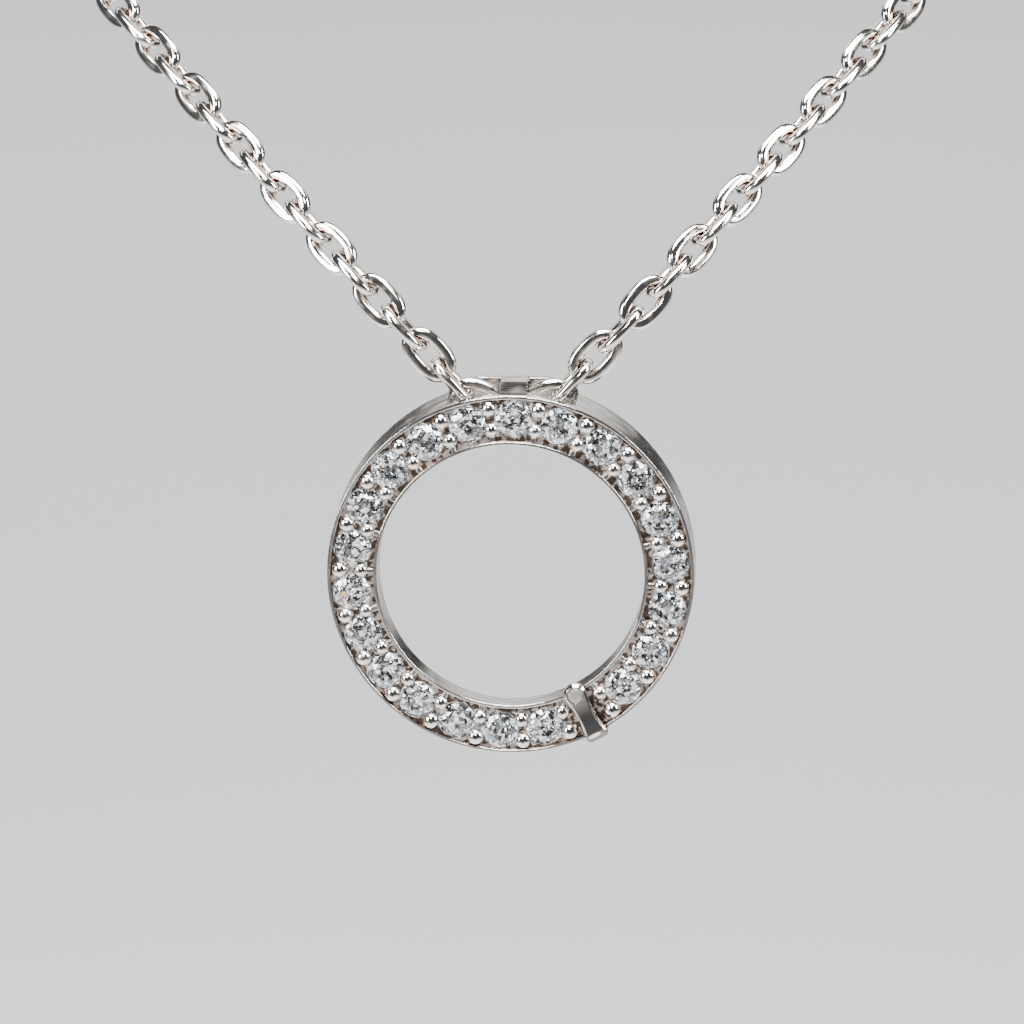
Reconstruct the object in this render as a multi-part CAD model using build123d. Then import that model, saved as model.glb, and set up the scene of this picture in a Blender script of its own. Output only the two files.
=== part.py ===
from build123d import *
import math
import os

os.makedirs("parts", exist_ok=True)

# Ring setting, the polished white metal circle that holds the stones
ring_inner_radius = 5.48
band_width = 2.02
ring_depth_top = 2.60
ring_depth_bottom = 0.95
wall_taper = 1.7
rim_width = 0.13
channel_depth = 0.15

# Round brilliant stones in their drilled seats
stone_diameter = 1.52
stone_spacing = 0.335
stone_shift = 0.05
table_share = 0.57
crown_angle = 34.5
girdle_height = 0.05
pavilion_angle = 41.0
girdle_sink = 0.13
seat_gap = 0.025
seat_drill_radius = 0.30
place_shift = 2.4
place_drift = 1.8
widest_drift_angle = 142.0
bar_place_share = 0.41

# Beads raised over the girdles, with ridges that tie the inner ones to the rim
inner_bead_radius = 0.33
outer_bead_radius = 0.37
inner_bead_offset = 0.41
outer_bead_offset = 0.46
bead_sink = 0.05
ridge_width = 0.20
ridge_drop = 0.04

# Plain bar across the band and its pin
bar_width = 0.95
bar_waist = 0.74
bar_edge = 0.09
bar_thickness = 0.34
bar_lift = 0.03
bar_inner_reach = 0.34
bar_outer_reach = 0.26
bar_leg = 0.75
bar_round = 0.28
bar_bend_radius = 0.40
pin_head_radius = 0.285
pin_head_height = 0.08
pin_head_proud = 0.02
pin_shank_radius = 0.12
pin_length = 0.80
pin_gap = 0.02

# Cable chain of faceted oval links
link_width = 1.68
link_length = 2.48
wire_width = 0.42
wire_thickness = 0.31
wire_bevel = 0.11
link_gap = 0.14
end_sides = 6
middle_roll = 22.0
middle_step = 1.33
second_step = 1.34

# Passage for the chain behind the top of the ring
front_skin = 0.42
passage_gap = 0.15
slot_half_width = 2.63
rail_thickness = 0.28
rail_rise = 0.28
rail_flat_half = 1.42
rail_shoulder_half = 1.90
rail_shoulder_drop = 0.15
rail_post_rise = 0.34
strap_width = 1.10
strap_thickness = 0.22
strap_shift = 0.10
chain_drop = 0.75
pendant_turn = 3.0
turned_points = 3
turn_reach = 10.0

# Clasp at the nape
clasp_body_length = 7.0
clasp_wide = 4.0
clasp_narrow = 2.6
clasp_thickness = 1.5
clasp_window = 1.9
clasp_eye_radius = 1.00
clasp_eye_wall = 0.45
clasp_eye_overlap = 0.30
clasp_gap = 0.10
clasp_edge_round = 0.30

# Route of the chain's right half, from the middle link up to the nape at the origin;
# its first points are turned with the pendant, the other half mirrors the rest
chain_route = [
    (0.0, -120.0, -71.0),
    (1.40, -120.0, -71.0),
    (5.1, -119.9, -67.0),
    (11.2, -115.6, -61.0),
    (20.0, -107.0, -52.4),
    (38.0, -89.0, -36.0),
    (59.0, -65.0, -20.0),
    (59.0, -29.0, -8.5),
    (35.5, -4.0, -1.5),
    (13.0, 0.0, 0.0),
    (0.0, 0.0, 0.0),
]
first_bend_radius = 3.0
bend_share = 0.45
join_point_number = 5
join_share = 0.25

# Sizes that follow from the named ones
ring_outer_radius = ring_inner_radius + band_width
stone_circle = ring_inner_radius + band_width / 2 + stone_shift
flare = math.tan(math.radians(wall_taper))
stone_radius = stone_diameter / 2
place_count = int(2 * math.pi * stone_circle / (stone_diameter + stone_spacing))
bar_place = round(bar_place_share * place_count)
girdle_top = -girdle_sink
bar_top = bar_lift + bar_thickness
link_half = link_length / 2
inner_length = link_length - 2 * wire_width
chain_pitch = inner_length - link_gap
roll = math.radians(middle_roll)
passage_half = (link_width * math.cos(roll) + wire_thickness * math.sin(roll)) / 2 + passage_gap
chain_depth = front_skin + passage_half
rail_front = chain_depth + passage_half
rail_back = rail_front + rail_thickness
chain_height = ring_outer_radius - chain_drop
strap_underside = chain_height + link_width / 2 + passage_gap
bar_inner_end = ring_inner_radius - bar_inner_reach
bar_outer_end = ring_outer_radius + bar_outer_reach
pin_circle = bar_inner_end + bar_width / 2
lean = math.tan(math.radians(pendant_turn))
clasp_half = clasp_body_length / 2 + 2 * clasp_eye_radius - clasp_eye_overlap


def place_angle(place):
    """Angle of a stone's place, clockwise from the top; the places drift a little, as hand-set ones do."""
    even = place * 360 / place_count
    return even + place_shift + place_drift * math.cos(math.radians(even - widest_drift_angle))


def on_band(radius, angle):
    """Point on the face at a radius and a clockwise angle from the top."""
    turn = math.radians(angle)
    return radius * math.sin(turn), radius * math.cos(turn)


def disc_ring(outer, inner, low, high):
    """Flat ring about the face's own axis between two heights."""
    blank = Cylinder(outer, high - low, align=(Align.CENTER, Align.CENTER, Align.MIN))
    hole = Cylinder(inner, high - low + 2, align=(Align.CENTER, Align.CENTER, Align.MIN))
    return Pos(0, 0, low) * blank - Pos(0, 0, low - 1) * hole


def side_profile(points, half_width):
    """Solid from a profile of (depth behind the face, height) points, as wide as asked across X."""
    outline = Polyline(*[(0, height, -depth) for depth, height in points], close=True)
    return extrude(make_face(outline), half_width, dir=(1, 0, 0), both=True)


# Round brilliant: table, 8 stars, 8 kites, 16 upper halves, girdle, 16 lower halves and 8 mains
def brilliant():
    table_radius = table_share * stone_radius
    rise = math.tan(math.radians(crown_angle))
    fall = math.tan(math.radians(pavilion_angle))
    half = math.cos(math.radians(22.5))
    crown_height = (stone_radius - table_radius) * rise
    star_radius = 0.80 * stone_radius
    star_height = (stone_radius - star_radius * half) * rise
    lower_radius = 0.22 * stone_radius
    lower_height = -girdle_height - (stone_radius - lower_radius * half) * fall
    culet = (0, 0, -girdle_height - stone_radius * fall)

    def at(radius, step, height):
        turn = math.radians(22.5 * step)
        return radius * math.cos(turn), radius * math.sin(turn), height

    faces = [[at(table_radius, 2 * k, crown_height) for k in range(8)]]
    for k in range(8):
        main, side, last, following = 2 * k, 2 * k + 1, 2 * k - 1, 2 * k + 2
        tip, tip_before = at(star_radius, side, star_height), at(star_radius, last, star_height)
        low, low_before = at(lower_radius, side, lower_height), at(lower_radius, last, lower_height)
        faces.append([at(table_radius, main, crown_height), at(table_radius, following, crown_height), tip])
        faces.append([at(table_radius, main, crown_height), tip_before, at(stone_radius, main, 0), tip])
        faces.append([culet, low_before, at(stone_radius, main, -girdle_height), low])
        for start in (main, side):
            first, second = at(stone_radius, start, 0), at(stone_radius, start + 1, 0)
            first_low = at(stone_radius, start, -girdle_height)
            second_low = at(stone_radius, start + 1, -girdle_height)
            faces.append([first, second, tip])
            faces.append([first, second, second_low, first_low])
            faces.append([first_low, second_low, low])
    skins = [Face(Wire.make_polygon([Vector(*p) for p in points], close=True)) for points in faces]
    return Solid(Shell(skins))


# Seat: the stone's own round form with a gap, and a drilled hole below it to the back
def seat():
    table_radius = table_share * stone_radius
    rise = math.tan(math.radians(crown_angle))
    fall = math.tan(math.radians(pavilion_angle))
    rim = stone_radius + seat_gap
    over = girdle_top + seat_gap
    under = girdle_top - girdle_height - seat_gap
    top = over + (rim - table_radius) * rise
    drill_top = under - (rim - seat_drill_radius) * fall
    far = -2 * max(ring_depth_top, rail_back)
    outline = Polyline(
        (0, 0, top), (table_radius, 0, top), (rim, 0, over), (rim, 0, under),
        (seat_drill_radius, 0, drill_top), (seat_drill_radius, 0, far), (0, 0, far), close=True)
    return revolve(make_face(outline), Axis.Z)


# Setting: ring with walls that widen to the back and a sloping back, deep at the top and thin at the foot
def setting():
    reach = ring_outer_radius + 1
    middle_depth = (ring_depth_top + ring_depth_bottom) / 2
    slope = (ring_depth_top - ring_depth_bottom) / (2 * ring_outer_radius)
    blank = Cone(ring_outer_radius + 2 * rail_back * flare, ring_outer_radius, 2 * rail_back,
                 align=(Align.CENTER, Align.CENTER, Align.MAX))
    body = blank - Cylinder(ring_inner_radius, 6 * rail_back)
    wedge = side_profile([(-1, -reach), (-1, reach), (middle_depth + slope * reach, reach),
                          (middle_depth - slope * reach, -reach)], reach)
    body = body & wedge

    # Recessed channel between two thin rims
    body -= disc_ring(ring_outer_radius - rim_width, ring_inner_radius + rim_width, -channel_depth, 1)

    # Two beads in each gap between places, the inner one tied to the rim by a ridge
    for place in range(place_count):
        angle = (place_angle(place) + place_angle(place + 1)) / 2
        for circle, radius in ((stone_circle - inner_bead_offset, inner_bead_radius),
                               (stone_circle + outer_bead_offset, outer_bead_radius)):
            x, y = on_band(circle, angle)
            body += Pos(x, y, -channel_depth - bead_sink) * Sphere(radius)
        length = stone_circle - inner_bead_offset - ring_inner_radius - rim_width / 2
        ridge = Box(ridge_width, length, channel_depth, align=(Align.CENTER, Align.MIN, Align.MAX))
        foot = ring_inner_radius + rim_width / 2
        body += Rot(0, 0, -angle) * Pos(0, foot, -ridge_drop) * ridge

    # Passage for the chain, stepped so that it clears the stones' points
    culet_depth = girdle_sink + girdle_height + stone_radius * math.tan(math.radians(pavilion_angle))
    upper_floor = chain_height - wire_thickness / 2
    lower_floor = chain_height - link_width / 2 - passage_gap
    passage = side_profile([(front_skin, upper_floor), (front_skin, reach), (rail_front, reach),
                            (rail_front, lower_floor), (culet_depth, lower_floor),
                            (culet_depth, upper_floor)], slot_half_width)
    back_slab = side_profile([(rail_front, lower_floor), (rail_front, reach), (2 * rail_back, reach),
                              (2 * rail_back, lower_floor)], slot_half_width)
    body -= passage
    body -= back_slab

    # Guard rail behind the passage
    rail_top = ring_outer_radius + rail_rise
    rail_end = math.sqrt(ring_outer_radius**2 - slot_half_width**2)
    overlap = 0.05
    right_side = [(slot_half_width + overlap, rail_end), (slot_half_width, rail_end + rail_post_rise),
                  (rail_shoulder_half, rail_top - rail_shoulder_drop), (rail_flat_half, rail_top)]
    left_side = [(-x, y) for x, y in reversed(right_side)]
    foot = lower_floor - overlap
    bottom = [(-slot_half_width - overlap, foot), (slot_half_width + overlap, foot)]
    rail_outline = Polyline(*[(x, y, -rail_back) for x, y in bottom + right_side + left_side], close=True)
    body += extrude(make_face(rail_outline), rail_thickness, dir=(0, 0, 1))

    # Strap from the front rim over the chain to the rail
    under = strap_underside
    over = under + strap_thickness
    front_foot = ring_outer_radius - rim_width
    outer_line = [(0, front_foot), (0, ring_outer_radius), (chain_depth - 0.55, over - 0.03),
                  (chain_depth + 0.55, over), (rail_back, rail_top), (rail_back, rail_top - 0.5)]
    inner_line = [(rail_front, rail_top - 0.5), (rail_front, under - 0.10), (chain_depth + 0.50, under),
                  (chain_depth - 0.50, under - 0.03), (front_skin, ring_outer_radius - 0.12),
                  (front_skin, front_foot)]
    body += Pos(strap_shift, 0, 0) * side_profile(outer_line + inner_line, strap_width / 2)

    # Drilled seats, and the hole for the bar's pin
    drill = seat()
    for place in range(place_count):
        if place == bar_place:
            continue
        x, y = on_band(stone_circle, place_angle(place))
        body -= Pos(x, y, 0) * drill
    x, y = on_band(pin_circle, place_angle(bar_place))
    body -= Pos(x, y, 1) * Cylinder(pin_shank_radius + pin_gap, 2 * (pin_length + pin_gap + 1))
    return body


# Bar: rounded inner end, waisted sides, sloped upper edge, and an outer end that turns down over the rim
def plain_bar():
    half = bar_width / 2
    middle = (pin_circle + bar_outer_end) / 2
    shoulder = bar_outer_end - bar_round
    inset = bar_round * (1 - math.sqrt(0.5))
    flat = half - bar_round
    outline = [
        ThreePointArc((-half, pin_circle), (0, bar_inner_end), (half, pin_circle)),
        ThreePointArc((half, pin_circle), (bar_waist / 2, middle), (half, shoulder)),
        ThreePointArc((half, shoulder), (half - inset, bar_outer_end - inset), (flat, bar_outer_end)),
        Line((flat, bar_outer_end), (-flat, bar_outer_end)),
        ThreePointArc((-flat, bar_outer_end), (inset - half, bar_outer_end - inset), (-half, shoulder)),
        ThreePointArc((-half, shoulder), (-bar_waist / 2, middle), (-half, pin_circle)),
    ]
    shape = make_face(outline)
    plan = Pos(0, 0, -bar_leg) * extrude(shape, bar_leg + bar_top - bar_edge)
    plan += Pos(0, 0, bar_top - bar_edge) * extrude(shape, bar_edge, taper=45)
    leg_start = ring_outer_radius + bar_leg * flare + bar_lift
    dip = bar_bend_radius * (1 - math.sqrt(0.5))
    run_out = bar_outer_end + 1
    side = [
        Line((0, 0, bar_top), (0, bar_outer_end - bar_bend_radius, bar_top)),
        ThreePointArc((0, bar_outer_end - bar_bend_radius, bar_top), (0, bar_outer_end - dip, bar_top - dip),
                      (0, bar_outer_end, bar_top - bar_bend_radius)),
        Line((0, bar_outer_end, bar_top - bar_bend_radius), (0, run_out, -bar_leg)),
        Line((0, run_out, -bar_leg), (0, leg_start, -bar_leg)),
        Line((0, leg_start, -bar_leg), (0, leg_start, bar_lift)),
        Line((0, leg_start, bar_lift), (0, 0, bar_lift)),
        Line((0, 0, bar_lift), (0, 0, bar_top)),
    ]
    bar = plan & extrude(make_face(side), bar_width, dir=(1, 0, 0), both=True)
    bar -= Pos(0, pin_circle, bar_top - pin_head_height) * Cylinder(
        pin_head_radius + pin_gap, 1, align=(Align.CENTER, Align.CENTER, Align.MIN))
    bar -= Pos(0, pin_circle, 0) * Cylinder(pin_shank_radius + pin_gap, 4 * bar_top)
    return bar


# Pin: flat round head in the bar's recess on a thin shank
def bar_pin():
    head_low = bar_top - pin_head_height + pin_gap
    head = Pos(0, 0, head_low) * Cylinder(
        pin_head_radius, bar_top + pin_head_proud - head_low, align=(Align.CENTER, Align.CENTER, Align.MIN))
    shank = Pos(0, 0, head_low) * Cylinder(
        pin_shank_radius, head_low + pin_length, align=(Align.CENTER, Align.CENTER, Align.MAX))
    return Pos(0, pin_circle, 0) * (head + shank)


# One oval link with a six-sided wire, long along X and flat in XY
def link():
    straight_half = link_half - link_width / 2

    def oval(radius, height):
        points = []
        for side in (1, -1):
            for k in range(end_sides + 1):
                turn = math.pi * k / end_sides - math.pi / 2
                along = straight_half + radius * math.cos(turn)
                points.append(Vector(side * along, side * radius * math.sin(turn), height))
        return points

    outer = link_width / 2
    inner = outer - wire_width
    high = wire_thickness / 2
    rows = [oval(outer - wire_bevel, -high), oval(outer, 0), oval(outer - wire_bevel, high),
            oval(inner + wire_bevel, high), oval(inner, 0), oval(inner + wire_bevel, -high)]
    skins = []
    for first, second in ((0, 1), (1, 2), (3, 4), (4, 5)):
        for k in range(len(rows[first])):
            corners = [rows[first][k - 1], rows[first][k], rows[second][k], rows[second][k - 1]]
            skins.append(Face(Wire.make_polygon(corners, close=True)))
    for outline, hole in ((0, 5), (2, 3)):
        opening = Wire.make_polygon(rows[hole], close=True)
        skins.append(Face(Wire.make_polygon(rows[outline], close=True), [opening]))
    return Solid(Shell(skins))


# Route of one half: straight runs joined by tangent arcs, split on a straight run where the front links end
def route_wires(side):
    points = [Vector(side * x, y - side * x * lean * (number < turned_points), z)
              for number, (x, y, z) in enumerate(chain_route)]
    before, after = points[join_point_number - 1], points[join_point_number]
    join = before + (after - before) * join_share

    def bends(path, first=None):
        radii = []
        for before, corner, after in zip(path, path[1:], path[2:]):
            a, b = before - corner, after - corner
            turn = math.pi - math.radians(a.get_angle(b))
            radii.append(bend_share * min(a.length, b.length) / math.tan(turn / 2))
        if first:
            radii[0] = first
        return radii

    front = points[:join_point_number] + [join]
    back = [join] + points[join_point_number:]
    front_radii, back_radii = bends(front, first_bend_radius), bends(back)
    print("bend radii", [round(r, 1) for r in front_radii + back_radii])
    return (FilletPolyline(*front, radius=front_radii), FilletPolyline(*back, radius=back_radii))


def link_place(route, distance, flat, extra_roll=0.0):
    """Place of a link on the route; a flat one faces away from the neck, or with the pendant near it."""
    centre = route.position_at(distance, position_mode=PositionMode.LENGTH)
    along = route.tangent_at(distance, position_mode=PositionMode.LENGTH)
    neck_middle = Vector(0, chain_route[0][1] / 2, centre.Z)
    neck_middle.X -= neck_middle.Y * lean * max(0, 1 - abs(centre.X) / turn_reach)
    outward = centre - neck_middle
    outward = (outward - along * outward.dot(along)).normalized()
    normal = outward if flat else along.cross(outward)
    return Plane(origin=centre, x_dir=along, z_dir=normal).location * Rot(extra_roll, 0, 0)


# Front links of both halves, then the hidden stretch: a tube as thick as the links are wide
one_link = link()
links, tubes, chain_length = [], [], 0.0
for side in (1, -1):
    front_route, back_route = route_wires(side)
    front_length, back_length = front_route.length, back_route.length
    chain_length += front_length + back_length
    if not links:
        links.append(one_link.moved(link_place(front_route, 0.0, False, -middle_roll)))
    distance, flat, step = middle_step, True, second_step
    while distance + link_half + link_gap < front_length:
        links.append(one_link.moved(link_place(front_route, distance, flat)))
        last = distance
        distance, flat, step = distance + step, not flat, chain_pitch
    tube_foot = front_route.trim((last + link_half + link_gap) / front_length, 1.0)
    tube_rest = back_route.trim(0.0, (back_length - clasp_half - clasp_gap) / back_length)
    path = Wire(tube_foot.edges() + tube_rest.edges())
    section = Plane(origin=path @ 0, z_dir=path % 0) * Circle(link_width / 2)
    tubes.append(sweep(section, path=path))
    expected = math.pi * (link_width / 2) ** 2 * path.length
    print("tube volume", round(tubes[-1].volume, 2), "expected", round(expected, 2))
export_step(Compound(children=links), "parts/chain_front.step")
export_step(Compound(children=tubes), "parts/chain_back.step")
print("front links", len(links), "last at", round(last, 2), "chain length", round(chain_length, 1))


# Clasp: a plain flat body with a window, and a thin eye at each end
def clasp():
    wide, narrow = clasp_wide / 2, clasp_narrow / 2
    big = Pos(clasp_body_length / 2 - wide, 0) * Circle(wide)
    small = Pos(-clasp_body_length / 2 + narrow, 0) * Circle(narrow)
    body = extrude(make_hull((big + small).edges()), clasp_thickness / 2, both=True)
    body = fillet(body.edges(), clasp_edge_round)
    window = Pos(clasp_body_length / 2 - wide, 0) * Circle(clasp_window / 2)
    window += Pos(-clasp_body_length / 2 + narrow + clasp_window / 4, 0) * Circle(clasp_window / 4)
    body -= extrude(make_hull(window.edges()), clasp_thickness, both=True)
    centre = clasp_half - clasp_eye_radius
    for side in (1, -1):
        eye = Circle(clasp_eye_radius) - Circle(clasp_eye_radius - clasp_eye_wall)
        body += Pos(side * centre, 0, 0) * extrude(eye, clasp_eye_wall / 2, both=True)
    return body


export_step(Rot(90, 0, 0) * clasp(), "parts/clasp.step")

# Pendant: built with its face up, stood upright, turned a little and hung on the middle link
hang = Pos(*chain_route[0]) * Rot(0, 0, -pendant_turn) * Pos(0, -chain_depth, -chain_height) * Rot(90, 0, 0)
export_step(hang * setting(), "parts/setting.step")
stone = brilliant()
number = 0
for place in range(place_count):
    if place == bar_place:
        continue
    number += 1
    x, y = on_band(stone_circle, place_angle(place))
    seated = hang * Pos(x, y, girdle_top) * Rot(0, 0, 90 - place_angle(place))
    export_step(seated * stone, f"parts/stone_{number:02d}.step")
bar_turn = Rot(0, 0, -place_angle(bar_place))
export_step(hang * bar_turn * plain_bar(), "parts/plain_bar.step")
export_step(hang * bar_turn * bar_pin(), "parts/bar_pin.step")
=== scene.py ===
import math

import bpy
import numpy as np
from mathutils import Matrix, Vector


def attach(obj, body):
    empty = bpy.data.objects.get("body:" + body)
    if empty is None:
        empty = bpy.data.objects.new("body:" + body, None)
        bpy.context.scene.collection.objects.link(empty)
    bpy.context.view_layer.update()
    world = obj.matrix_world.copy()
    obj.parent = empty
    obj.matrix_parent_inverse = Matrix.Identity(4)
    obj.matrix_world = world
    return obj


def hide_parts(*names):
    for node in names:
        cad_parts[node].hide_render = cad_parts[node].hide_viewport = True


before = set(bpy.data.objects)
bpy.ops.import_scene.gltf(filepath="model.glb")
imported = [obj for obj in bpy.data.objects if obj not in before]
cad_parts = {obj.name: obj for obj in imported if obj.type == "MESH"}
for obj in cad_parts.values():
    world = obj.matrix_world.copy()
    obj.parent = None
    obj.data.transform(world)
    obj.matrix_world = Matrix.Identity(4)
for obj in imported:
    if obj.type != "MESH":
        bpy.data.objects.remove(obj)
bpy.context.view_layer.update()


# Ring setting
# One casting in rhodium-bright white metal. It is polished by hand on its rims and beads, brushed along
# its walls, and its sunken channel is painted dark brown as shade, with lighter metal patches; painted
# shade also darkens its recesses. The drilled seats are cut bright.
MM = 0.001
ring_front = Vector((-0.0736, -121.405, -77.75)) * MM
ring_turn = math.radians(3.0)
run_radius = 6.5 * MM

rim_colour = (0.90, 0.855, 0.815, 1.0)
wall_colour = (0.36, 0.325, 0.295, 1.0)
seat_colour = (0.88, 0.87, 0.87, 1.0)
# Painted shade: the sunken channel is coloured dark brown
channel_shade_colour = (0.13, 0.092, 0.07, 1.0)
# Lighter metal patches within the channel's painted shade
channel_patch_colour = (0.70, 0.62, 0.57, 1.0)
# Painted shade: colour the metal takes in recesses where a near wall shades it
recess_shade_colour = (0.30, 0.225, 0.18, 1.0)

# Radii at which the channel starts and ends, and depths at which each finish and the channel's painted shade
# set in
inner_rim_band = (5.60 * MM, 5.64 * MM)
outer_rim_band = (7.34 * MM, 7.38 * MM)
channel_band = (0.04 * MM, 0.135 * MM)
seat_band = (0.17 * MM, 0.21 * MM)
wall_band = (0.01 * MM, 0.06 * MM)

# Polish: scratches drawn out one way, and waves left by the mop
scratch_stretch = (0.12, 1.0, 1.0)
scratch_lean = (0.3, 0.5, 0.4)
scratch_height = 0.22
dull_band = (0.42, 0.72)
polish_relief_height = 0.02 * MM
# Where the painted shade in recesses begins and where it is full
recess_open, recess_deep = 0.95, 0.35

# Brush marks on the walls, lighter metal patches in the channel's painted shade, and how rough and raised
# each is
brush_stretch = (0.06, 1.0, 1.0)
brush_marks_per_metre = 9000.0
brush_band = (0.42, 0.70)
brush_height = 0.9
channel_patches_per_metre = 4200.0
channel_patch_band = (0.46, 0.58)
channel_patch_height = 9.0
rim_roughness = 0.07
dull_roughness = 0.14
wall_roughness = 0.10
channel_roughness = 0.22
ring_relief = 0.28
ring_edge_round = 0.06 * MM


def group_socket(group, name, kind, value=None, output=False):
    socket = group.interface.new_socket(name, in_out="OUTPUT" if output else "INPUT", socket_type=kind)
    if value is not None:
        socket.default_value = value


def node(tree, kind, **values):
    made = tree.nodes.new(kind)
    for name, value in values.items():
        if name in made.inputs:
            made.inputs[name].default_value = value
        else:
            setattr(made, name, value)
    return made


def linked(tree, kind, *sources, **values):
    """Node with its first sockets fed by the given outputs or plain numbers; gives its first output."""
    made = node(tree, kind, **values)
    for number, source in enumerate(sources):
        if isinstance(source, (int, float)):
            made.inputs[number].default_value = source
        else:
            tree.links.new(source, made.inputs[number])
    return made.outputs[0]


def sums(tree, operation, *sources):
    return linked(tree, "ShaderNodeMath", *sources, operation=operation)


def step_up(tree, source, start, end):
    """0 below the start and 1 above the end, with a smooth rise."""
    made = node(tree, "ShaderNodeMapRange", interpolation_type="SMOOTHSTEP")
    made.inputs["From Min"].default_value = start
    made.inputs["From Max"].default_value = end
    tree.links.new(source, made.inputs["Value"])
    return made.outputs["Result"]


def mixed_colour(tree, share, first, second):
    """Mix of two colours; each is a socket or a plain colour."""
    made = node(tree, "ShaderNodeMix", data_type="RGBA")
    tree.links.new(share, made.inputs["Factor"])
    for name, colour in (("A", first), ("B", second)):
        socket = next(s for s in made.inputs if s.name == name and s.type == "RGBA")
        if isinstance(colour, tuple):
            socket.default_value = colour
        else:
            tree.links.new(colour, socket)
    return next(s for s in made.outputs if s.type == "RGBA")


def hand_polish_group():
    """Fine scratches, soft waves left by the polishing mop, and a mask of duller patches."""
    group = bpy.data.node_groups.new("hand polish", "ShaderNodeTree")
    group_socket(group, "Scratches per metre", "NodeSocketFloat", 9000.0)
    group_socket(group, "Waves per metre", "NodeSocketFloat", 1400.0)
    group_socket(group, "Dullness", "NodeSocketFloat", 0.0, output=True)
    group_socket(group, "Height", "NodeSocketFloat", 0.0, output=True)
    enter, leave = node(group, "NodeGroupInput"), node(group, "NodeGroupOutput")
    place = node(group, "ShaderNodeTexCoord")
    stretch = node(group, "ShaderNodeMapping")
    stretch.inputs["Scale"].default_value = scratch_stretch
    stretch.inputs["Rotation"].default_value = scratch_lean
    scratches = node(group, "ShaderNodeTexNoise", Detail=3.0, Roughness=0.6)
    waves = node(group, "ShaderNodeTexNoise", Detail=1.5, Roughness=0.45)
    links = group.links
    links.new(place.outputs["Object"], stretch.inputs["Vector"])
    links.new(stretch.outputs["Vector"], scratches.inputs["Vector"])
    links.new(place.outputs["Object"], waves.inputs["Vector"])
    links.new(enter.outputs["Scratches per metre"], scratches.inputs["Scale"])
    links.new(enter.outputs["Waves per metre"], waves.inputs["Scale"])
    links.new(step_up(group, waves.outputs["Fac"], *dull_band), leave.inputs["Dullness"])
    fine = sums(group, "MULTIPLY", scratches.outputs["Fac"], scratch_height)
    links.new(sums(group, "ADD", fine, waves.outputs["Fac"]), leave.inputs["Height"])
    return group


def recess_shade_group():
    """Mask of the places where a near wall shades the metal: seats, corners and the passage."""
    group = bpy.data.node_groups.new("recess_shade", "ShaderNodeTree")
    group_socket(group, "Reach", "NodeSocketFloat", 0.0003)
    group_socket(group, "Recess shade", "NodeSocketFloat", 0.0, output=True)
    enter, leave = node(group, "NodeGroupInput"), node(group, "NodeGroupOutput")
    shade = node(group, "ShaderNodeAmbientOcclusion", samples=8)
    group.links.new(enter.outputs["Reach"], shade.inputs["Distance"])
    depth = node(group, "ShaderNodeMapRange")
    depth.inputs["From Min"].default_value = recess_open
    depth.inputs["From Max"].default_value = recess_deep
    group.links.new(shade.outputs["AO"], depth.inputs["Value"])
    group.links.new(depth.outputs["Result"], leave.inputs["Recess shade"])
    return group


def ring_place_group():
    """Place of a point on the ring, in metres: run along the band, depth behind the face, and radius."""
    group = bpy.data.node_groups.new("ring place", "ShaderNodeTree")
    for name in ("Run", "Depth", "Radius"):
        group_socket(group, name, "NodeSocketFloat", 0.0, output=True)
    group_socket(group, "Along", "NodeSocketVector", output=True)
    leave = node(group, "NodeGroupOutput")
    place = node(group, "ShaderNodeTexCoord")
    upright = node(group, "ShaderNodeMapping", vector_type="TEXTURE")
    upright.inputs["Location"].default_value = ring_front
    upright.inputs["Rotation"].default_value = (0.0, 0.0, -ring_turn)
    group.links.new(place.outputs["Object"], upright.inputs["Vector"])
    axes = node(group, "ShaderNodeSeparateXYZ")
    group.links.new(upright.outputs["Vector"], axes.inputs["Vector"])
    across, depth, height = axes.outputs
    across_square = sums(group, "MULTIPLY", across, across)
    height_square = sums(group, "MULTIPLY", height, height)
    radius = sums(group, "SQRT", sums(group, "ADD", across_square, height_square))
    run = sums(group, "MULTIPLY", sums(group, "ARCTAN2", across, height), run_radius)
    along = node(group, "ShaderNodeCombineXYZ")
    for source, name in ((run, "Run"), (depth, "Depth"), (radius, "Radius")):
        group.links.new(source, leave.inputs[name])
    for source, socket in zip((run, depth, radius), along.inputs):
        group.links.new(source, socket)
    group.links.new(along.outputs["Vector"], leave.inputs["Along"])
    return group


hand_polish = hand_polish_group()
recess_shade = recess_shade_group()
ring_place = ring_place_group()


def placed_group(tree, group, **values):
    made = node(tree, "ShaderNodeGroup", node_tree=group)
    for name, value in values.items():
        made.inputs[name.replace("_", " ")].default_value = value
    return made


def metal_start(name):
    material = bpy.data.materials.new(name)
    material.use_nodes = True
    tree = material.node_tree
    shader = tree.nodes["Principled BSDF"]
    shader.inputs["Metallic"].default_value = 1.0
    return material, tree, shader


def relief(tree, shader, height, strength, edge):
    """Bump from a height; where an edge radius is given, the edges under it are softened."""
    bump = node(tree, "ShaderNodeBump", Strength=strength, Distance=polish_relief_height)
    tree.links.new(height, bump.inputs["Height"])
    if edge:
        rounded = node(tree, "ShaderNodeBevel", samples=6, Radius=edge)
        tree.links.new(rounded.outputs["Normal"], bump.inputs["Normal"])
    tree.links.new(bump.outputs["Normal"], shader.inputs["Normal"])


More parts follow.
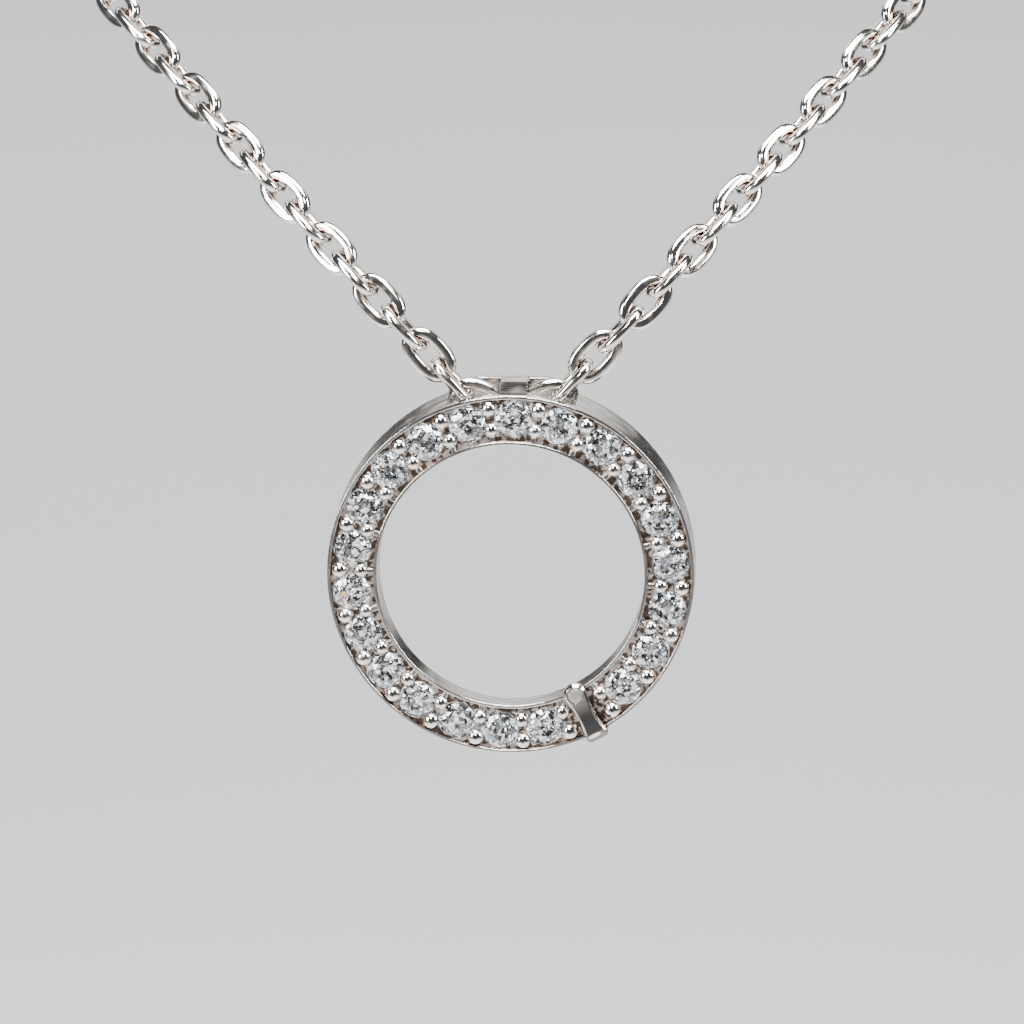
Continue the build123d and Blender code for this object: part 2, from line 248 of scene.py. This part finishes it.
def polished_metal(name, colour, shade_colour, low, high, scratches, waves, bump, reach, edge):
    """Polished metal: painted shade darkens and warms its colour in recesses, its gloss drops in patches, its
    edges are softened.
    """
    material, tree, shader = metal_start(name)
    polish = placed_group(tree, hand_polish, Scratches_per_metre=scratches, Waves_per_metre=waves)
    recess_shade_node = placed_group(tree, recess_shade, Reach=reach)
    # Painted shade: the colour darkens and warms in recesses
    shaded = mixed_colour(tree, recess_shade_node.outputs["Recess shade"], colour, shade_colour)
    tree.links.new(shaded, shader.inputs["Base Color"])
    gloss = node(tree, "ShaderNodeMapRange")
    gloss.inputs["To Min"].default_value = low
    gloss.inputs["To Max"].default_value = high
    tree.links.new(polish.outputs["Dullness"], gloss.inputs["Value"])
    tree.links.new(gloss.outputs["Result"], shader.inputs["Roughness"])
    relief(tree, shader, polish.outputs["Height"], bump, edge)
    return material


def ring_metal():
    """The ring's metal: bright rims and beads, walls brushed lengthwise, a channel painted dark brown as
    shade with lighter patches, and painted shade in recesses.
    """
    material, tree, shader = metal_start("polished ring metal")
    polish = placed_group(tree, hand_polish, Scratches_per_metre=9000.0, Waves_per_metre=1100.0)
    recess_shade_node = placed_group(tree, recess_shade, Reach=0.30 * MM)
    place = placed_group(tree, ring_place)
    radius, depth = place.outputs["Radius"], place.outputs["Depth"]
    past_inner_rim = step_up(tree, radius, *inner_rim_band)
    before_outer_rim = sums(tree, "SUBTRACT", 1.0, step_up(tree, radius, *outer_rim_band))
    inside = sums(tree, "MULTIPLY", past_inner_rim, before_outer_rim)
    outside = sums(tree, "SUBTRACT", 1.0, inside)
    channel = sums(tree, "MULTIPLY", inside, step_up(tree, depth, *channel_band))
    seat = sums(tree, "MULTIPLY", inside, step_up(tree, depth, *seat_band))
    wall = sums(tree, "MULTIPLY", outside, step_up(tree, depth, *wall_band))

    # Brush marks run along the walls
    lengthwise = node(tree, "ShaderNodeMapping")
    lengthwise.inputs["Scale"].default_value = brush_stretch
    tree.links.new(place.outputs["Along"], lengthwise.inputs["Vector"])
    brushed = node(tree, "ShaderNodeTexNoise", Scale=brush_marks_per_metre, Detail=3.0, Roughness=0.65)
    tree.links.new(lengthwise.outputs["Vector"], brushed.inputs["Vector"])
    marks = step_up(tree, brushed.outputs["Fac"], *brush_band)
    channel_patches = node(tree, "ShaderNodeTexNoise", Scale=channel_patches_per_metre, Detail=2.0, Roughness=0.5)
    tree.links.new(place.outputs["Along"], channel_patches.inputs["Vector"])

    walls = mixed_colour(tree, marks, wall_colour, rim_colour)
    colour = mixed_colour(tree, wall, rim_colour, walls)
    # Painted shade: recesses take a darker, warmer colour
    colour = mixed_colour(tree, recess_shade_node.outputs["Recess shade"], colour, recess_shade_colour)
    patches = step_up(tree, channel_patches.outputs["Fac"], *channel_patch_band)
    # Painted shade: the sunken channel is dark brown, broken by lighter metal patches
    channel_shade_and_patches = mixed_colour(tree, patches, channel_shade_colour, channel_patch_colour)
    colour = mixed_colour(tree, channel, colour, channel_shade_and_patches)
    colour = mixed_colour(tree, seat, colour, seat_colour)
    tree.links.new(colour, shader.inputs["Base Color"])
    rough = sums(tree, "MULTIPLY_ADD", polish.outputs["Dullness"], dull_roughness, rim_roughness)
    rough = sums(tree, "MULTIPLY_ADD", wall, wall_roughness, rough)
    rough = sums(tree, "MULTIPLY_ADD", channel, channel_roughness, rough)
    tree.links.new(rough, shader.inputs["Roughness"])

    wall_marks = sums(tree, "MULTIPLY", wall, brushed.outputs["Fac"])
    channel_marks = sums(tree, "MULTIPLY", channel, channel_patches.outputs["Fac"])
    height = sums(tree, "MULTIPLY_ADD", wall_marks, brush_height, polish.outputs["Height"])
    height = sums(tree, "MULTIPLY_ADD", channel_marks, channel_patch_height, height)
    relief(tree, shader, height, ring_relief, ring_edge_round)
    return material


def dress(name, material):
    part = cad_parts[name]
    part.data.materials.clear()
    part.data.materials.append(material)


dress("setting", ring_metal())


# Stones
# Clear round brilliants of one size, each with a flat table and sharp polished facets, dropped into
# drilled seats and held by the raised beads. Their reflections and their yellow and blue-green sparks are
# painted into their colour as small patches, and some patches glow as painted flashes.
stone_index = 2.4
spark_size = 0.18 * MM
# Painted dark seams between the painted reflection patches
painted_seam_colour = (0.34, 0.34, 0.38, 1.0)
painted_seam_band = (0.02, 0.10)
# Patches whose second number passes this glow with a painted flash, at this strength
lit_above = 0.64
painted_flash_strength = 1.15
patch_lean = (0.36, 0.36, 0.36)
no_light = (0.0, 0.0, 0.0, 1.0)

# Painted reflection and spark tones of the patches, each from its place on a scale of 0 to 1 up to the next
# one's
painted_sparkle_tones = [
    (0.0, (1.0, 1.0, 1.0, 1)), (0.30, (0.72, 0.78, 0.87, 1)), (0.40, (1.0, 1.0, 1.0, 1)),
    (0.64, (0.22, 0.24, 0.28, 1)), (0.70, (1.0, 1.0, 1.0, 1)), (0.90, (0.66, 0.72, 0.83, 1)),
    (0.96, (1.0, 0.70, 0.22, 1)), (0.98, (0.40, 0.78, 0.82, 1)),
]


def cut_stone():
    """Clear stone whose colour is painted in small crisp patches of reflections and sparks, as many small
    facets would throw.
    """
    material = bpy.data.materials.new("clear cut stone")
    material.use_nodes = True
    tree = material.node_tree
    shader = tree.nodes["Principled BSDF"]
    shader.inputs["Transmission Weight"].default_value = 1.0
    shader.inputs["IOR"].default_value = stone_index
    shader.inputs["Roughness"].default_value = 0.0
    place = node(tree, "ShaderNodeTexCoord")
    cells = node(tree, "ShaderNodeTexVoronoi", Scale=1.0 / spark_size)
    tree.links.new(place.outputs["Object"], cells.inputs["Vector"])
    split = node(tree, "ShaderNodeSeparateColor")
    tree.links.new(cells.outputs["Color"], split.inputs["Color"])
    sparkle_tones = node(tree, "ShaderNodeValToRGB")
    ramp = sparkle_tones.color_ramp
    ramp.interpolation = "CONSTANT"
    while len(ramp.elements) < len(painted_sparkle_tones):
        ramp.elements.new(0.5)
    for element, (position, colour) in zip(ramp.elements, painted_sparkle_tones):
        element.position = position
        element.color = colour
    tree.links.new(split.outputs["Red"], sparkle_tones.inputs["Fac"])

    # A painted dark seam runs round each patch, and some patches glow with a painted flash of light
    seams = node(tree, "ShaderNodeTexVoronoi", feature="DISTANCE_TO_EDGE", Scale=1.0 / spark_size)
    tree.links.new(place.outputs["Object"], seams.inputs["Vector"])
    core = step_up(tree, seams.outputs["Distance"], *painted_seam_band)
    tree.links.new(mixed_colour(tree, core, painted_seam_colour, sparkle_tones.outputs["Color"]), shader.inputs["Base Color"])
    shape = node(tree, "ShaderNodeNewGeometry")
    outside = sums(tree, "SUBTRACT", 1.0, shape.outputs["Backfacing"])
    # Painted flash: chosen patches glow by emission
    lit = sums(tree, "GREATER_THAN", split.outputs["Green"], lit_above)
    share = sums(tree, "MULTIPLY", sums(tree, "MULTIPLY", core, lit), outside)
    painted_flash = mixed_colour(tree, share, no_light, sparkle_tones.outputs["Color"])
    tree.links.new(painted_flash, shader.inputs["Emission Color"])
    shader.inputs["Emission Strength"].default_value = painted_flash_strength

    # Each patch leans its own way
    lean = linked(tree, "ShaderNodeVectorMath", cells.outputs["Color"], operation="SUBTRACT")
    lean.node.inputs[1].default_value = (0.5, 0.5, 0.5)
    tilted = node(tree, "ShaderNodeVectorMath", operation="MULTIPLY_ADD")
    tree.links.new(lean, tilted.inputs[0])
    tilted.inputs[1].default_value = patch_lean
    tree.links.new(shape.outputs["Normal"], tilted.inputs[2])
    unit = linked(tree, "ShaderNodeVectorMath", tilted.outputs["Vector"], operation="NORMALIZE")
    tree.links.new(unit, shader.inputs["Normal"])
    return material


clear_stone = cut_stone()
for name in sorted(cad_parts):
    if name.startswith("stone_"):
        dress(name, clear_stone)


# Plain bar and its pin
# A flat strip of the same metal laid over the band in place of a stone. It is held by a round-headed
# pin at its inner end, folds down over the outer edge, and is scuffed more than the ring is.
bar_colour = (0.88, 0.83, 0.79, 1.0)
# Painted dark reflection on the bar's face and fold
painted_reflection_colour = (0.16, 0.15, 0.145, 1.0)
pin_colour = (0.90, 0.82, 0.77, 1.0)
bar_run = math.radians(152.2) * run_radius

# The painted dark reflection: depths in front of which the bar's face lies, radii where the painted
# reflection and the fold set in
face_band = (-0.355 * MM, -0.33 * MM)
painted_reflection_band = (5.75 * MM, 6.65 * MM)
fold_band = (7.28 * MM, 7.36 * MM)
painted_reflection_strength = 0.93

# The painted highlight on the fold, and how its edge fades
glint_radius = 7.46 * MM
glint_half_run, glint_half_radius = 0.26 * MM, 0.085 * MM
glint_band = (0.7, 1.2)


def bar_with_painted_reflection():
    """The bar's metal: bright on its sloped edges, with a painted dark grey reflection that thickens to the
    outer end.
    """
    material = polished_metal("scuffed bar metal", bar_colour, recess_shade_colour, low=0.05, high=0.20,
                              scratches=14000.0, waves=1800.0, bump=0.20, reach=0.12 * MM, edge=0.03 * MM)
    tree = material.node_tree
    shader = tree.nodes["Principled BSDF"]
    unreflected_colour = shader.inputs["Base Color"].links[0].from_socket
    place = placed_group(tree, ring_place)
    radius, depth = place.outputs["Radius"], place.outputs["Depth"]
    # Painted dark reflection on the bar's face and on its fold, setting in along the radius
    face = sums(tree, "SUBTRACT", 1.0, step_up(tree, depth, *face_band))
    fold = step_up(tree, radius, *fold_band)
    painted_reflection = sums(tree, "MULTIPLY", step_up(tree, radius, *painted_reflection_band), sums(tree, "MAXIMUM", face, fold))
    painted_reflection = sums(tree, "MULTIPLY", painted_reflection, painted_reflection_strength)

    # A small painted highlight on the fold: the painted reflection is left off there, so it stays bright
    sideways = sums(tree, "SUBTRACT", place.outputs["Run"], bar_run)
    across = sums(tree, "DIVIDE", sideways, glint_half_run)
    outward = sums(tree, "DIVIDE", sums(tree, "SUBTRACT", radius, glint_radius), glint_half_radius)
    across_square = sums(tree, "MULTIPLY", across, across)
    outward_square = sums(tree, "MULTIPLY", outward, outward)
    spread = sums(tree, "ADD", across_square, outward_square)
    painted_reflection = sums(tree, "MULTIPLY", painted_reflection, step_up(tree, spread, *glint_band))
    tree.links.new(mixed_colour(tree, painted_reflection, unreflected_colour, painted_reflection_colour), shader.inputs["Base Color"])
    return material


bar_metal = bar_with_painted_reflection()
pin_metal = polished_metal("matt pin metal", pin_colour, recess_shade_colour, low=0.30, high=0.42,
                           scratches=20000.0, waves=6000.0, bump=0.20, reach=0.06 * MM, edge=0.02 * MM)
dress("plain_bar", bar_metal)
dress("bar_pin", pin_metal)


# Chain, front stretch
# Cable chain of oval links, cut from wire, flattened in facets and soldered one by one. Every second
# link is turned a quarter round, and the middle link lies in the passage behind the ring.
chain_colour = (0.91, 0.86, 0.81, 1.0)
# Painted shade where a near link shades the metal
chain_shade = (0.52, 0.41, 0.35, 1.0)
link_width = 1.68 * MM
link_length = 2.56 * MM
wire_width = 0.50 * MM
wire_thickness = 0.42 * MM
oval_fullness = 2.5
flat_across_share, flat_through_share = 0.26, 0.20
corner_softness = 0.16

# How the links follow each other from the middle one, and how many the front has on each side
chain_pitch = 1.50 * MM
middle_step = 1.33 * MM
second_step = 1.34 * MM
middle_roll = math.radians(22.0)
front_link_pairs = 25

# The chain's line on its right side, in millimetres, from the middle link up to the nape
pendant_lean = math.tan(ring_turn)
turned_points = 3
turn_reach = 10.0 * MM
first_bend_radius = 3.0 * MM
bend_share = 0.45
join_point = 5
join_share = 0.25
chain_route = [
    (0.0, -120.0, -71.0), (1.40, -120.0, -71.0), (5.1, -119.9, -67.0), (11.2, -115.6, -61.0),
    (20.0, -107.0, -52.4), (38.0, -89.0, -36.0), (59.0, -65.0, -20.0), (59.0, -29.0, -8.5),
    (35.5, -4.0, -1.5), (13.0, 0.0, 0.0), (0.0, 0.0, 0.0),
]
arc_step = 0.05 * MM
fewest_arc_steps = 24
same_point = 1e-9
probe = 1e-5


def link_section(width, thickness, corner_points):
    """Points round the wire: flats joined by tight corners, as (across, through) pairs."""
    flat_across, flat_through = flat_across_share * width, flat_through_share * thickness
    ring = [(width / 2, flat_through), (flat_across, thickness / 2)]
    ring += [(-a, t) for a, t in reversed(ring)]
    ring += [(a, -t) for a, t in reversed(ring)]
    if corner_points == 1:
        return ring
    soft = []
    for before, here, after in zip(ring[-1:] + ring[:-1], ring, ring[1:] + ring[:1]):
        for other in (before, after):
            soft.append(tuple(h + corner_softness * (o - h) for h, o in zip(here, other)))
    return soft


def link_shape(steps, corner_points):
    """Vertices and faces of one oval link, long along X and flat in XY."""
    section = link_section(wire_width, wire_thickness, corner_points)
    long_half, short_half = (link_length - wire_width) / 2, (link_width - wire_width) / 2
    path = []
    for k in range(steps):
        turn = 2 * math.pi * (k + 0.5) / steps
        along, across = math.cos(turn), math.sin(turn)
        x = long_half * math.copysign(abs(along) ** (2 / oval_fullness), along)
        y = short_half * math.copysign(abs(across) ** (2 / oval_fullness), across)
        out = Vector((math.copysign(abs(x / long_half) ** (oval_fullness - 1) / long_half, x),
                      math.copysign(abs(y / short_half) ** (oval_fullness - 1) / short_half, y))).normalized()
        path.append((x, y, out))
    vertices = [(x + a * out[0], y + a * out[1], t) for x, y, out in path for a, t in section]
    count, around = len(path), len(section)
    faces = [(i * around + j, i * around + (j + 1) % around,
              ((i + 1) % count) * around + (j + 1) % around, ((i + 1) % count) * around + j)
             for i in range(count) for j in range(around)]
    return np.array(vertices), np.array(faces)


def rounded_route(side):
    """Points of one half of the chain's line: straight runs joined by arcs of short steps."""
    corners = [np.array((side * x, y - side * x * pendant_lean * (k < turned_points), z)) * MM
               for k, (x, y, z) in enumerate(chain_route)]
    join = corners[join_point - 1] + (corners[join_point] - corners[join_point - 1]) * join_share
    line = []
    for part, path in enumerate((corners[:join_point] + [join], [join] + corners[join_point:])):
        line.append(path[0])
        for k in range(1, len(path) - 1):
            before, after = path[k - 1] - path[k], path[k + 1] - path[k]
            runs = np.linalg.norm(before), np.linalg.norm(after)
            before, after = before / runs[0], after / runs[1]
            turn = math.pi - math.acos(float(before @ after))
            radius = bend_share * min(runs) / math.tan(turn / 2)
            if part == 0 and k == 1:
                radius = first_bend_radius
            start = path[k] + before * radius * math.tan(turn / 2)
            middle = (before + after) / np.linalg.norm(before + after)
            centre = path[k] + middle * radius / math.cos(turn / 2)
            spoke = (start - centre) / radius
            steps = max(fewest_arc_steps, int(radius * turn / arc_step))
            for step in range(steps + 1):
                angle = turn * step / steps
                line.append(centre + radius * (spoke * math.cos(angle) - before * math.sin(angle)))
        line.append(path[-1])
    line = np.array(line)
    gaps = np.linalg.norm(np.diff(line, axis=0), axis=1)
    return line[np.append(True, gaps > same_point)]


def link_frames(line, distances, first_flat, roll=0.0):
    """Place of each link on the line: every second one faces away from the neck, or with the ring near it."""
    gaps = np.linalg.norm(np.diff(line, axis=0), axis=1)
    run = np.append(0.0, np.cumsum(gaps))
    places = []
    for number, distance in enumerate(distances):
        at = [np.array([np.interp(distance + d, run, line[:, k]) for k in range(3)])
              for d in (-probe, 0.0, probe)]
        if distance < probe:
            at[0] = at[1]
        centre = at[1]
        along = at[2] - at[0]
        along /= np.linalg.norm(along)
        neck = np.array((0.0, chain_route[0][1] / 2 * MM, centre[2]))
        neck[0] -= neck[1] * pendant_lean * max(0.0, 1 - abs(centre[0]) / turn_reach)
        outward = centre - neck
        outward -= along * (outward @ along)
        outward /= np.linalg.norm(outward)
        normal = outward if (number % 2 == 0) == first_flat else np.cross(along, outward)
        normal = normal * math.cos(roll) + np.cross(along, normal) * math.sin(roll)
        places.append(np.column_stack((along, np.cross(normal, along), normal, centre)))
    return places, run[-1]


def chain_piece(name, shape, places):
    """One mesh of many links, each in its own place."""
    vertices, faces = shape
    every_vertex = [vertices @ place[:, :3].T + place[:, 3] for place in places]
    every_face = [faces + number * len(vertices) for number in range(len(places))]
    mesh = bpy.data.meshes.new(name)
    mesh.from_pydata(np.concatenate(every_vertex).tolist(), [], np.concatenate(every_face).tolist())
    mesh.polygons.foreach_set("use_smooth", [True] * len(mesh.polygons))
    mesh.update()
    piece = bpy.data.objects.new(name, mesh)
    bpy.context.collection.objects.link(piece)
    return piece


chain_metal = polished_metal("polished link metal", chain_colour, chain_shade, low=0.09, high=0.20,
                             scratches=12000.0, waves=2200.0, bump=0.18, reach=0.25 * MM, edge=0.0)
half_lines = {side: rounded_route(side) for side in (1, -1)}
front_distances = [middle_step, middle_step + second_step]
while len(front_distances) < front_link_pairs:
    front_distances.append(front_distances[-1] + chain_pitch)
front_places, _ = link_frames(half_lines[1], [0.0], first_flat=False, roll=-middle_roll)
for side in (1, -1):
    front_places += link_frames(half_lines[side], front_distances, first_flat=True)[0]
front_links = chain_piece("front_links", link_shape(steps=40, corner_points=2), front_places)
front_links.data.materials.append(chain_metal)
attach(front_links, "necklace")
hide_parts("chain_front")


# Chain, hidden stretch
# The same links go on round the neck to the clasp, where the last one on each side passes through
# the clasp's eye. They are drawn with fewer facets.
eye_to_nape = 4.20 * MM
last_link_to_eye = 1.25 * MM
back_places = []
for side in (1, -1):
    _, whole = link_frames(half_lines[side], [0.0], first_flat=True)
    start, end = front_distances[-1], whole - eye_to_nape - last_link_to_eye
    count = 2 * round(((end - start) / chain_pitch - 1) / 2) + 1
    spread = [start + (end - start) * k / count for k in range(1, count + 1)]
    back_places += link_frames(half_lines[side], spread, first_flat=False)[0]
back_links = chain_piece("back_links", link_shape(steps=20, corner_points=1), back_places)
back_links.data.materials.append(chain_metal)
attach(back_links, "necklace")
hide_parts("chain_back")


# Clasp
# A flat lobster-shaped clasp with an eye at each end, cast in the same metal and tumbled smooth.
# The last link of each side passes through its eye.
clasp_metal = polished_metal("tumbled clasp metal", rim_colour, recess_shade_colour, low=0.10, high=0.26,
                             scratches=8000.0, waves=900.0, bump=0.10, reach=0.4 * MM, edge=0.06 * MM)
dress("clasp", clasp_metal)


# Floor, light and camera
# The necklace hangs over a pale table that lies about 65 mm under the ring. Soft boxes stand near the
# ring, and it is seen with a long lens from a little above.
floor_height = -150.0 * MM
floor_half = 1.6
floor_roughness = 0.55
floor_grain_per_metre = 14.0
floor_tones = (0.70, 0.74)
floor_lift = 0.24
floor_lift_colour = (0.96, 0.98, 1.0, 1.0)
sky_colour = (0.93, 0.95, 1.0, 1.0)
sky_light = 0.08
sky_lift = 0.40
cool_light = (0.97, 0.985, 1.0)
warm_light = (1.0, 0.985, 0.96)

# The lens of 175.8 mm on a 36 mm sensor makes 5000 pixels, and the ring lies 64.2 pixels below the middle
view_elevation = math.radians(14.1)
view_distance = 204.0 * MM
view_side = -0.002 * MM
sensor_width = 36.0
lens_length = 175.8
lens_pixels = 5000.0
ring_drop_pixels = 64.2
view_near, view_far = 0.01, 20.0

floor_mesh = bpy.data.meshes.new("floor")
corners = [(-floor_half, -floor_half), (floor_half, -floor_half),
           (floor_half, floor_half), (-floor_half, floor_half)]
floor_mesh.from_pydata([(x, y, floor_height) for x, y in corners], [], [(0, 1, 2, 3)])
floor = bpy.data.objects.new("floor", floor_mesh)
bpy.context.collection.objects.link(floor)
floor_paint = bpy.data.materials.new("pale table")
floor_paint.use_nodes = True
floor_tree = floor_paint.node_tree
floor_shader = floor_tree.nodes["Principled BSDF"]
floor_shader.inputs["Roughness"].default_value = floor_roughness
floor_place = node(floor_tree, "ShaderNodeTexCoord")
floor_grain = node(floor_tree, "ShaderNodeTexNoise", Scale=floor_grain_per_metre, Detail=2.0)
floor_tone = node(floor_tree, "ShaderNodeMapRange")
floor_tone.inputs["To Min"].default_value, floor_tone.inputs["To Max"].default_value = floor_tones
floor_tree.links.new(floor_place.outputs["Object"], floor_grain.inputs["Vector"])
floor_tree.links.new(floor_grain.outputs["Fac"], floor_tone.inputs["Value"])
floor_tree.links.new(floor_tone.outputs["Result"], floor_shader.inputs["Base Color"])

# The table is brighter to camera rays alone, so that its far parts stay pale; this lights no piece
floor_sight = node(floor_tree, "ShaderNodeLightPath").outputs["Is Camera Ray"]
floor_tree.links.new(sums(floor_tree, "MULTIPLY", floor_sight, floor_lift),
                     floor_shader.inputs["Emission Strength"])
floor_shader.inputs["Emission Color"].default_value = floor_lift_colour
floor_mesh.materials.append(floor_paint)


def soft_box(name, place, size, power, colour=(1.0, 1.0, 1.0), aim=(0.0, 0.0, 0.0)):
    """Rectangular soft box; place and aim are counted from the ring's centre."""
    light = bpy.data.lights.new(name, "AREA")
    light.shape = "RECTANGLE"
    light.size, light.size_y = size
    light.energy = power
    light.color = colour
    lamp = bpy.data.objects.new(name, light)
    lamp.location = ring_front + Vector(place)
    lamp.rotation_euler = (Vector(aim) - Vector(place)).to_track_quat("-Z", "Y").to_euler()
    lamp.visible_camera = False
    bpy.context.collection.objects.link(lamp)


soft_box("top box", place=(0.0, -0.03, 0.12), size=(0.095, 0.06), power=0.62)
soft_box("left box", place=(-0.11, -0.075, 0.045), size=(0.035, 0.09), power=0.27, colour=cool_light)
soft_box("right box", place=(0.115, -0.05, 0.065), size=(0.03, 0.08), power=0.25, colour=warm_light)
soft_box("front box", place=(-0.02, -0.14, 0.10), size=(0.045, 0.025), power=0.16)
soft_box("floor box", place=(0.0, 0.54, 0.18), size=(0.70, 0.83), power=3.1, aim=(0.0, 0.54, -0.07))

# The sky is brighter to camera rays alone, as the table is
world = bpy.data.worlds.new("studio")
bpy.context.scene.world = world
world.use_nodes = True
sky = world.node_tree.nodes["Background"]
sky_sight = node(world.node_tree, "ShaderNodeLightPath").outputs["Is Camera Ray"]
sky_strength = sums(world.node_tree, "MULTIPLY_ADD", sky_sight, sky_lift, sky_light)
world.node_tree.links.new(sky_strength, sky.inputs["Strength"])
sky.inputs["Color"].default_value = sky_colour

camera = bpy.data.objects.new("camera", bpy.data.cameras.new("camera"))
bpy.context.collection.objects.link(camera)
camera.data.sensor_width = sensor_width
camera.data.lens = lens_length
camera.data.clip_start, camera.data.clip_end = view_near, view_far
back = Vector((0.0, -math.cos(view_elevation), math.sin(view_elevation)))
camera.location = Vector((view_side, ring_front.y, ring_front.z)) + back * view_distance
axis_elevation = view_elevation - math.atan(ring_drop_pixels / lens_pixels)
camera.rotation_euler = (math.pi / 2 - axis_elevation, 0.0, 0.0)
bpy.context.scene.camera = camera
